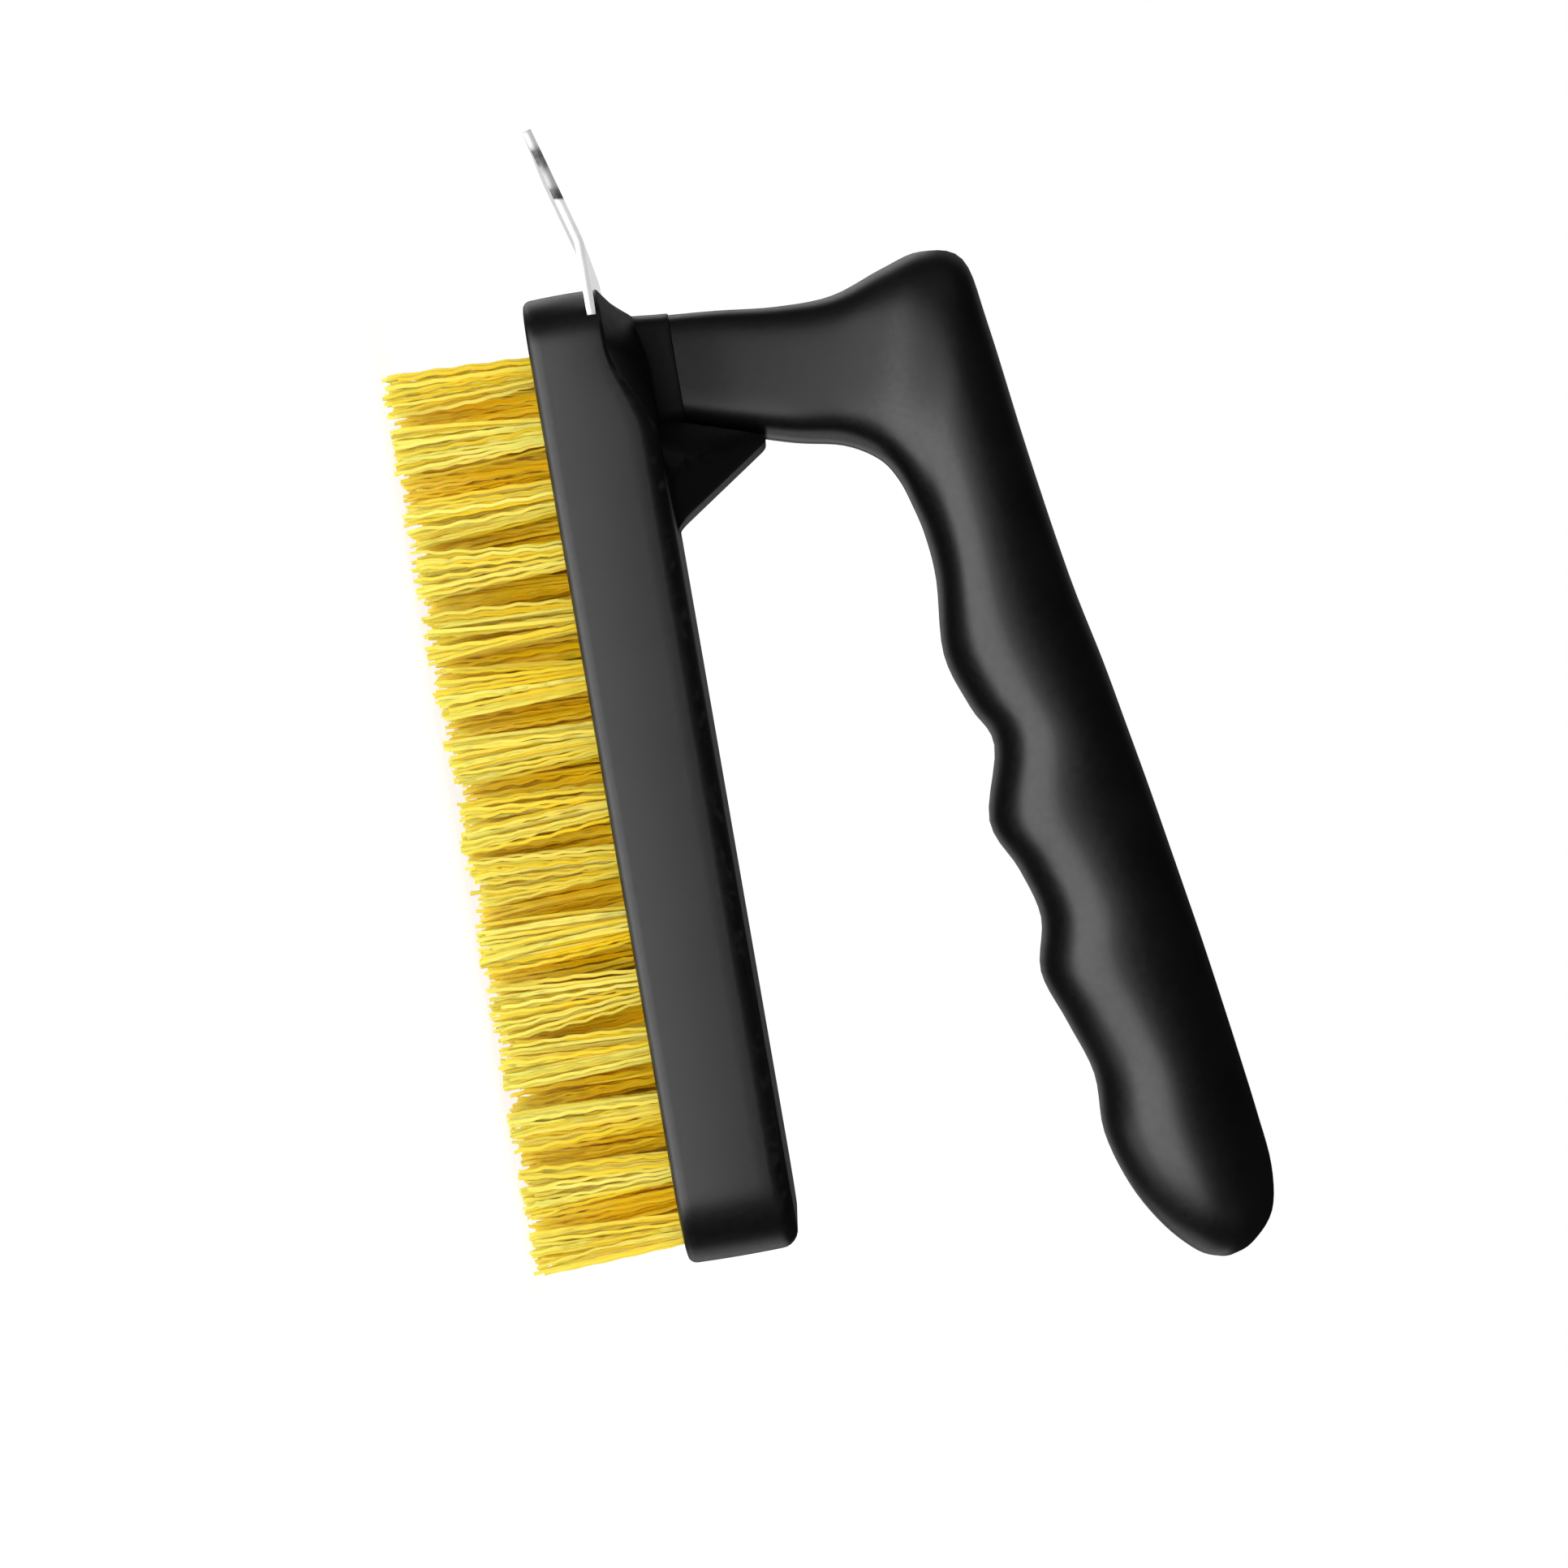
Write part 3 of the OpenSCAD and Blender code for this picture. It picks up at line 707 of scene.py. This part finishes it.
def noise(tree, per_metre, detail=4.0, stretch=(1, 1, 1)):
    """A noise over the piece's own coordinates."""
    coordinates = tree.nodes.new("ShaderNodeTexCoord")
    mapping = tree.nodes.new("ShaderNodeMapping")
    mapping.inputs["Scale"].default_value = stretch
    texture = tree.nodes.new("ShaderNodeTexNoise")
    texture.inputs["Scale"].default_value = per_metre
    texture.inputs["Detail"].default_value = detail
    tree.links.new(coordinates.outputs["Object"], mapping.inputs["Vector"])
    tree.links.new(mapping.outputs["Vector"], texture.inputs["Vector"])
    return texture.outputs["Fac"]


def attribute(tree, name):
    """A number that the piece carries at each of its vertices."""
    node = tree.nodes.new("ShaderNodeAttribute")
    node.attribute_name = name
    return node.outputs["Fac"]


def ramp(tree, value, low, high, start=0.35, stop=0.65):
    """A value spread from low to high as the input goes from start to stop."""
    node = tree.nodes.new("ShaderNodeMapRange")
    tree.links.new(value, node.inputs["Value"])
    for socket, number in (("From Min", start), ("From Max", stop),
                           ("To Min", low), ("To Max", high)):
        node.inputs[socket].default_value = number
    return node.outputs["Result"]


def times(tree, a, b):
    """The product of two values."""
    node = tree.nodes.new("ShaderNodeMath")
    node.operation = "MULTIPLY"
    tree.links.new(a, node.inputs[0])
    tree.links.new(b, node.inputs[1])
    return node.outputs[0]


def blend_colours(tree, factor, a, b):
    """Mixes two colours, either of which may be a plain colour or a socket."""
    node = tree.nodes.new("ShaderNodeMix")
    node.data_type = "RGBA"
    tree.links.new(factor, node.inputs["Factor"])
    for name, colour in (("A", a), ("B", b)):
        socket = next(s for s in node.inputs if s.name == name and s.type == "RGBA")
        if isinstance(colour, tuple):
            socket.default_value = (*colour, 1)
        else:
            tree.links.new(colour, socket)
    return next(s for s in node.outputs if s.type == "RGBA")


def raise_surface(tree, shader, height, strength, distance_mm):
    """Fine relief, too small for geometry."""
    node = tree.nodes.new("ShaderNodeBump")
    node.inputs["Strength"].default_value = strength
    node.inputs["Distance"].default_value = distance_mm * MM
    tree.links.new(height, node.inputs["Height"])
    tree.links.new(node.outputs["Normal"], shader.inputs["Normal"])


def moulded_plastic(name, colour, light, roughness, grain_mm, grain_depth):
    """Black polypropylene from a mould with a fine spark-eroded grain, scuffed paler along worn edges."""
    material, tree, shader = new_material(name, colour, roughness, specular=1.0)
    cloudy = ramp(tree, noise(tree, 70, 6), 0, 1)
    base = blend_colours(tree, cloudy, colour, light)
    scuffed = times(tree, attribute(tree, "edge"),
                    ramp(tree, noise(tree, 420, 8), 0, 0.8, 0.52, 0.66))
    worn = tuple(4 * c for c in light)
    tree.links.new(blend_colours(tree, scuffed, base, worn), shader.inputs["Base Color"])
    tree.links.new(ramp(tree, noise(tree, 900, 8), roughness - 0.02, roughness + 0.03),
                   shader.inputs["Roughness"])
    raise_surface(tree, shader, noise(tree, 1000 / grain_mm, 2), 0.6, grain_depth)
    return material


def crimped_nylon():
    """Yellow filament: each strand a little different, the inner rows painted a deeper orange as shade
    between the tufts, and paler at the cut tips.
    """
    material, tree, shader = new_material("crimped_filament", (0.97, 0.72, 0.05), 0.4, specular=0.4)
    shader.inputs["Subsurface Weight"].default_value = 0.45
    shader.inputs["Subsurface Radius"].default_value = (1.0, 0.45, 0.08)
    shader.inputs["Subsurface Scale"].default_value = 1.5 * MM
    strand = blend_colours(tree, attribute(tree, "tone"), (0.9, 0.57, 0.006), (0.88, 0.72, 0.13))
    # painted shade: filaments of the inner rows take a deeper orange, as seen in the shaded gaps between
    # tufts
    strand = blend_colours(tree, attribute(tree, "inner"), strand, (1.0, 0.56, 0.002))
    tips = ramp(tree, attribute(tree, "reach"), 0, 0.4, 0.55, 1.0)
    tree.links.new(blend_colours(tree, tips, strand, (0.82, 0.76, 0.14)), shader.inputs["Base Color"])
    tree.links.new(ramp(tree, noise(tree, 900, 3), 0.3, 0.48), shader.inputs["Roughness"])
    raise_surface(tree, shader, noise(tree, 2600, 2, (1, 1, 0.12)), 0.4, 0.03)
    return material


def brushed_steel():
    """Stainless sheet, brushed lengthways, with a painted dark reflection on the sides of its lip."""
    material, tree, shader = new_material("scraper_sheet", (0.8, 0.8, 0.81), 0.33, metallic=1.0)
    grain = noise(tree, 2200, 4, (0.04, 1, 0.04))
    bright = blend_colours(tree, ramp(tree, grain, 0, 1), (0.7, 0.7, 0.71), (0.86, 0.86, 0.87))
    # painted dark reflection: the lip's sides go near black where the attribute marks them
    painted_dark_reflection = times(tree, attribute(tree, "painted_dark_reflection"), ramp(tree, noise(tree, 500, 3), 0.8, 1))
    tree.links.new(blend_colours(tree, painted_dark_reflection, bright, (0.035, 0.035, 0.037)), shader.inputs["Base Color"])
    tree.links.new(ramp(tree, grain, 0.33, 0.4), shader.inputs["Roughness"])
    raise_surface(tree, shader, grain, 0.1, 0.005)
    return material


def zinc_plate(name, colour, roughness):
    """Dull bright plating, slightly cloudy."""
    material, tree, shader = new_material(name, colour, roughness, metallic=1.0)
    clouds = ramp(tree, noise(tree, 700, 5), 0, 1)
    darker = tuple(0.72 * c for c in colour)
    tree.links.new(blend_colours(tree, clouds, darker, colour), shader.inputs["Base Color"])
    tree.links.new(ramp(tree, noise(tree, 1500, 3), roughness - 0.08, roughness + 0.1),
                   shader.inputs["Roughness"])
    raise_surface(tree, shader, noise(tree, 5000, 2), 0.3, 0.01)
    return material


def finish_node(node, material):
    """Gives a CAD node a better material."""
    for slot in bpy.data.objects[node].material_slots:
        slot.material = material


# ---------------------------------------------------------------- camera, lights and floor

SENSOR, LENS = 36, 89.9
CAMERA = Vector((2.4, -660, 53.7))     # in millimetres, level with the brush and square to its side
CAMERA_ROLL = math.radians(9.85)       # from the scraper end straight up
LIGHTS_FACE = Vector((0, 0, 0.06))     # in metres, the middle of the brush


def build_camera():
    scene = bpy.context.scene
    data = bpy.data.cameras.new("camera")
    data.sensor_width = SENSOR
    data.lens = LENS
    camera = bpy.data.objects.new("camera", data)
    scene.collection.objects.link(camera)
    scene.camera = camera
    right = Vector((math.sin(CAMERA_ROLL), 0, math.cos(CAMERA_ROLL)))
    up = Vector((-math.cos(CAMERA_ROLL), 0, math.sin(CAMERA_ROLL)))
    turn = Matrix((right, up, Vector((0, -1, 0)))).transposed().to_4x4()
    camera.matrix_world = Matrix.Translation(CAMERA * MM) @ turn


# Panels: name, azimuth, elevation, distance, width, height, radiance and which surfaces they
# light. Azimuth 0 is the -Y side and 90 the +X end; angles in degrees, lengths in metres.
PANELS = (
    ("key", 0, -34, 1.2, 1.6, 1.3, 1.9, "gloss"),
    ("under", 0, -75, 1.2, 1.5, 0.9, 0.8, "gloss"),
    ("matt_fill", 0, -12, 1.5, 0.7, 0.7, 10.8, "matt"),
    ("matt_fill", 120, -5, 1.5, 0.7, 0.7, 4.5, "matt"),
    ("matt_fill", 240, -5, 1.5, 0.7, 0.7, 4.5, "matt"),
    ("back", 130, -12, 1.3, 1.0, 0.9, 0.5, "gloss"),
    ("back", 180, -12, 1.3, 1.0, 0.9, 0.4, "gloss"),
    ("back", 230, -12, 1.3, 1.0, 0.9, 0.95, "gloss"),
    ("back_high", 215, 27, 1.5, 1.7, 0.8, 0.14, "gloss"),
    ("flank", -55, 22, 1.4, 0.8, 0.8, 0.06, "gloss"),
    ("flank", 50, 22, 1.4, 0.8, 0.8, 0.06, "gloss"),
)
# For the metal pieces only: a low ring and a high one, then one overhead
METAL_PANELS = [("metal_ring", azimuth, elevation, 1.3, 1.5, 1.2, radiance, "gloss")
                for azimuth in range(0, 360, 60) for elevation, radiance in ((-22, 0.55), (32, 0.8))]
METAL_PANELS.append(("metal_overhead", 0, 90, 1.3, 1.5, 1.2, 0.8, "gloss"))


def softbox(name, azimuth, elevation, distance, width, height, radiance, surfaces):
    """A panel light that faces the brush."""
    data = bpy.data.lights.new(name, "AREA")
    data.shape = "RECTANGLE"
    data.size, data.size_y = width, height
    data.energy = radiance * math.pi * width * height    # the power that gives a panel this radiance
    light = bpy.data.objects.new(name, data)
    bpy.context.scene.collection.objects.link(light)
    a, e = math.radians(azimuth), math.radians(elevation)
    away = Vector((math.sin(a) * math.cos(e), -math.cos(a) * math.cos(e), math.sin(e)))
    light.location = LIGHTS_FACE + away * distance
    light.rotation_euler = away.to_track_quat("Z", "Y").to_euler()
    light.visible_camera = False
    light.visible_diffuse, light.visible_glossy = surfaces == "matt", surfaces == "gloss"
    return light


def light_metal(*names):
    """Soft lights all round and overhead that only the named pieces see."""
    metal = bpy.data.collections.new("metal_pieces")
    for name in names:
        metal.objects.link(bpy.data.objects[name])
    for panel in METAL_PANELS:
        softbox(*panel).light_linking.receiver_collection = metal


FILL, REFLECTED = 0.7, 0.012         # what matt and glossy surfaces get from the room


def build_world():
    """White behind the brush, a soft even fill, and a dark room for gloss to mirror."""
    world = bpy.data.worlds.new("studio")
    world.use_nodes = True
    tree = world.node_tree
    seen = tree.nodes["Background"]
    seen.inputs["Color"].default_value = (1, 1, 1, 1)
    path = tree.nodes.new("ShaderNodeLightPath")
    surround = seen.outputs[0]
    for ray, strength in (("Is Diffuse Ray", FILL), ("Is Glossy Ray", REFLECTED)):
        dim = tree.nodes.new("ShaderNodeBackground")
        dim.inputs["Strength"].default_value = strength
        dim.inputs["Color"].default_value = (1, 1, 1, 1)
        mix = tree.nodes.new("ShaderNodeMixShader")
        tree.links.new(path.outputs[ray], mix.inputs[0])
        tree.links.new(surround, mix.inputs[1])
        tree.links.new(dim.outputs[0], mix.inputs[2])
        surround = mix.outputs[0]
    tree.links.new(surround, tree.nodes["World Output"].inputs["Surface"])
    bpy.context.scene.world = world


def build_floor():
    bm = bmesh.new()
    bmesh.ops.create_grid(bm, x_segments=1, y_segments=1, size=20)
    mesh = bpy.data.meshes.new("floor")
    bm.to_mesh(mesh)
    bm.free()
    material = bpy.data.materials.new("pale_floor")
    material.use_nodes = True
    tree = material.node_tree
    shader = tree.nodes["Principled BSDF"]
    shader.inputs["Base Color"].default_value = (0.35, 0.35, 0.35, 1)
    shader.inputs["Roughness"].default_value = 0.9
    shader.inputs["Emission Color"].default_value = (1, 1, 1, 1)
    shader.inputs["Emission Strength"].default_value = 0.85
    # the floor is clear when seen from below
    side = tree.nodes.new("ShaderNodeNewGeometry")
    clear = tree.nodes.new("ShaderNodeBsdfTransparent")
    mix = tree.nodes.new("ShaderNodeMixShader")
    tree.links.new(side.outputs["Backfacing"], mix.inputs[0])
    tree.links.new(shader.outputs[0], mix.inputs[1])
    tree.links.new(clear.outputs[0], mix.inputs[2])
    tree.links.new(mix.outputs[0], tree.nodes["Material Output"].inputs["Surface"])
    mesh.materials.append(material)
    floor = bpy.data.objects.new("floor", mesh)
    bpy.context.scene.collection.objects.link(floor)
    floor.location.z = -0.0005     # just under the tips
    floor.visible_shadow = floor.visible_diffuse = floor.visible_glossy = False


def build_stage():
    """Matt surfaces and gloss have their own panels, so that black plastic keeps its soft highlights."""
    bpy.context.scene.view_settings.view_transform = "Standard"
    build_camera()
    build_world()
    build_floor()
    for panel in PANELS:
        softbox(*panel)


# ---------------------------------------------------------------- the brush

build_stage()
grip = moulded_plastic("grip_satin_black", (0.0012, 0.0012, 0.0014), (0.0024, 0.0024, 0.0027), 0.37,
                       grain_mm=0.45, grain_depth=0.008)
head = moulded_plastic("head_satin_black", (0.0012, 0.0012, 0.0012), (0.0024, 0.0024, 0.0024), 0.37,
                       grain_mm=0.4, grain_depth=0.01)
block = moulded_plastic("block_matt_black", (0.02, 0.02, 0.02), (0.03, 0.03, 0.03), 0.62,
                        grain_mm=0.5, grain_depth=0.03)
zinc = zinc_plate("zinc_screws", (0.66, 0.67, 0.68), 0.32)
wire = zinc_plate("anchor_flat_wire", (0.72, 0.7, 0.66), 0.4)
steel = brushed_steel()

build_handle(grip)
build_head(head)
build_bristles(crimped_nylon())
build_scraper(steel)
build_screws(zinc)
finish_node("tuft_block", block)
finish_node("tuft_anchors", wire)
finish_node("scraper_screws", zinc)
finish_node("scraper_washers", zinc)
light_metal("scraper", "grip_screws", "collar_screw", "tuft_block_screws", "scraper_screws",
            "scraper_washers", "tuft_anchors")
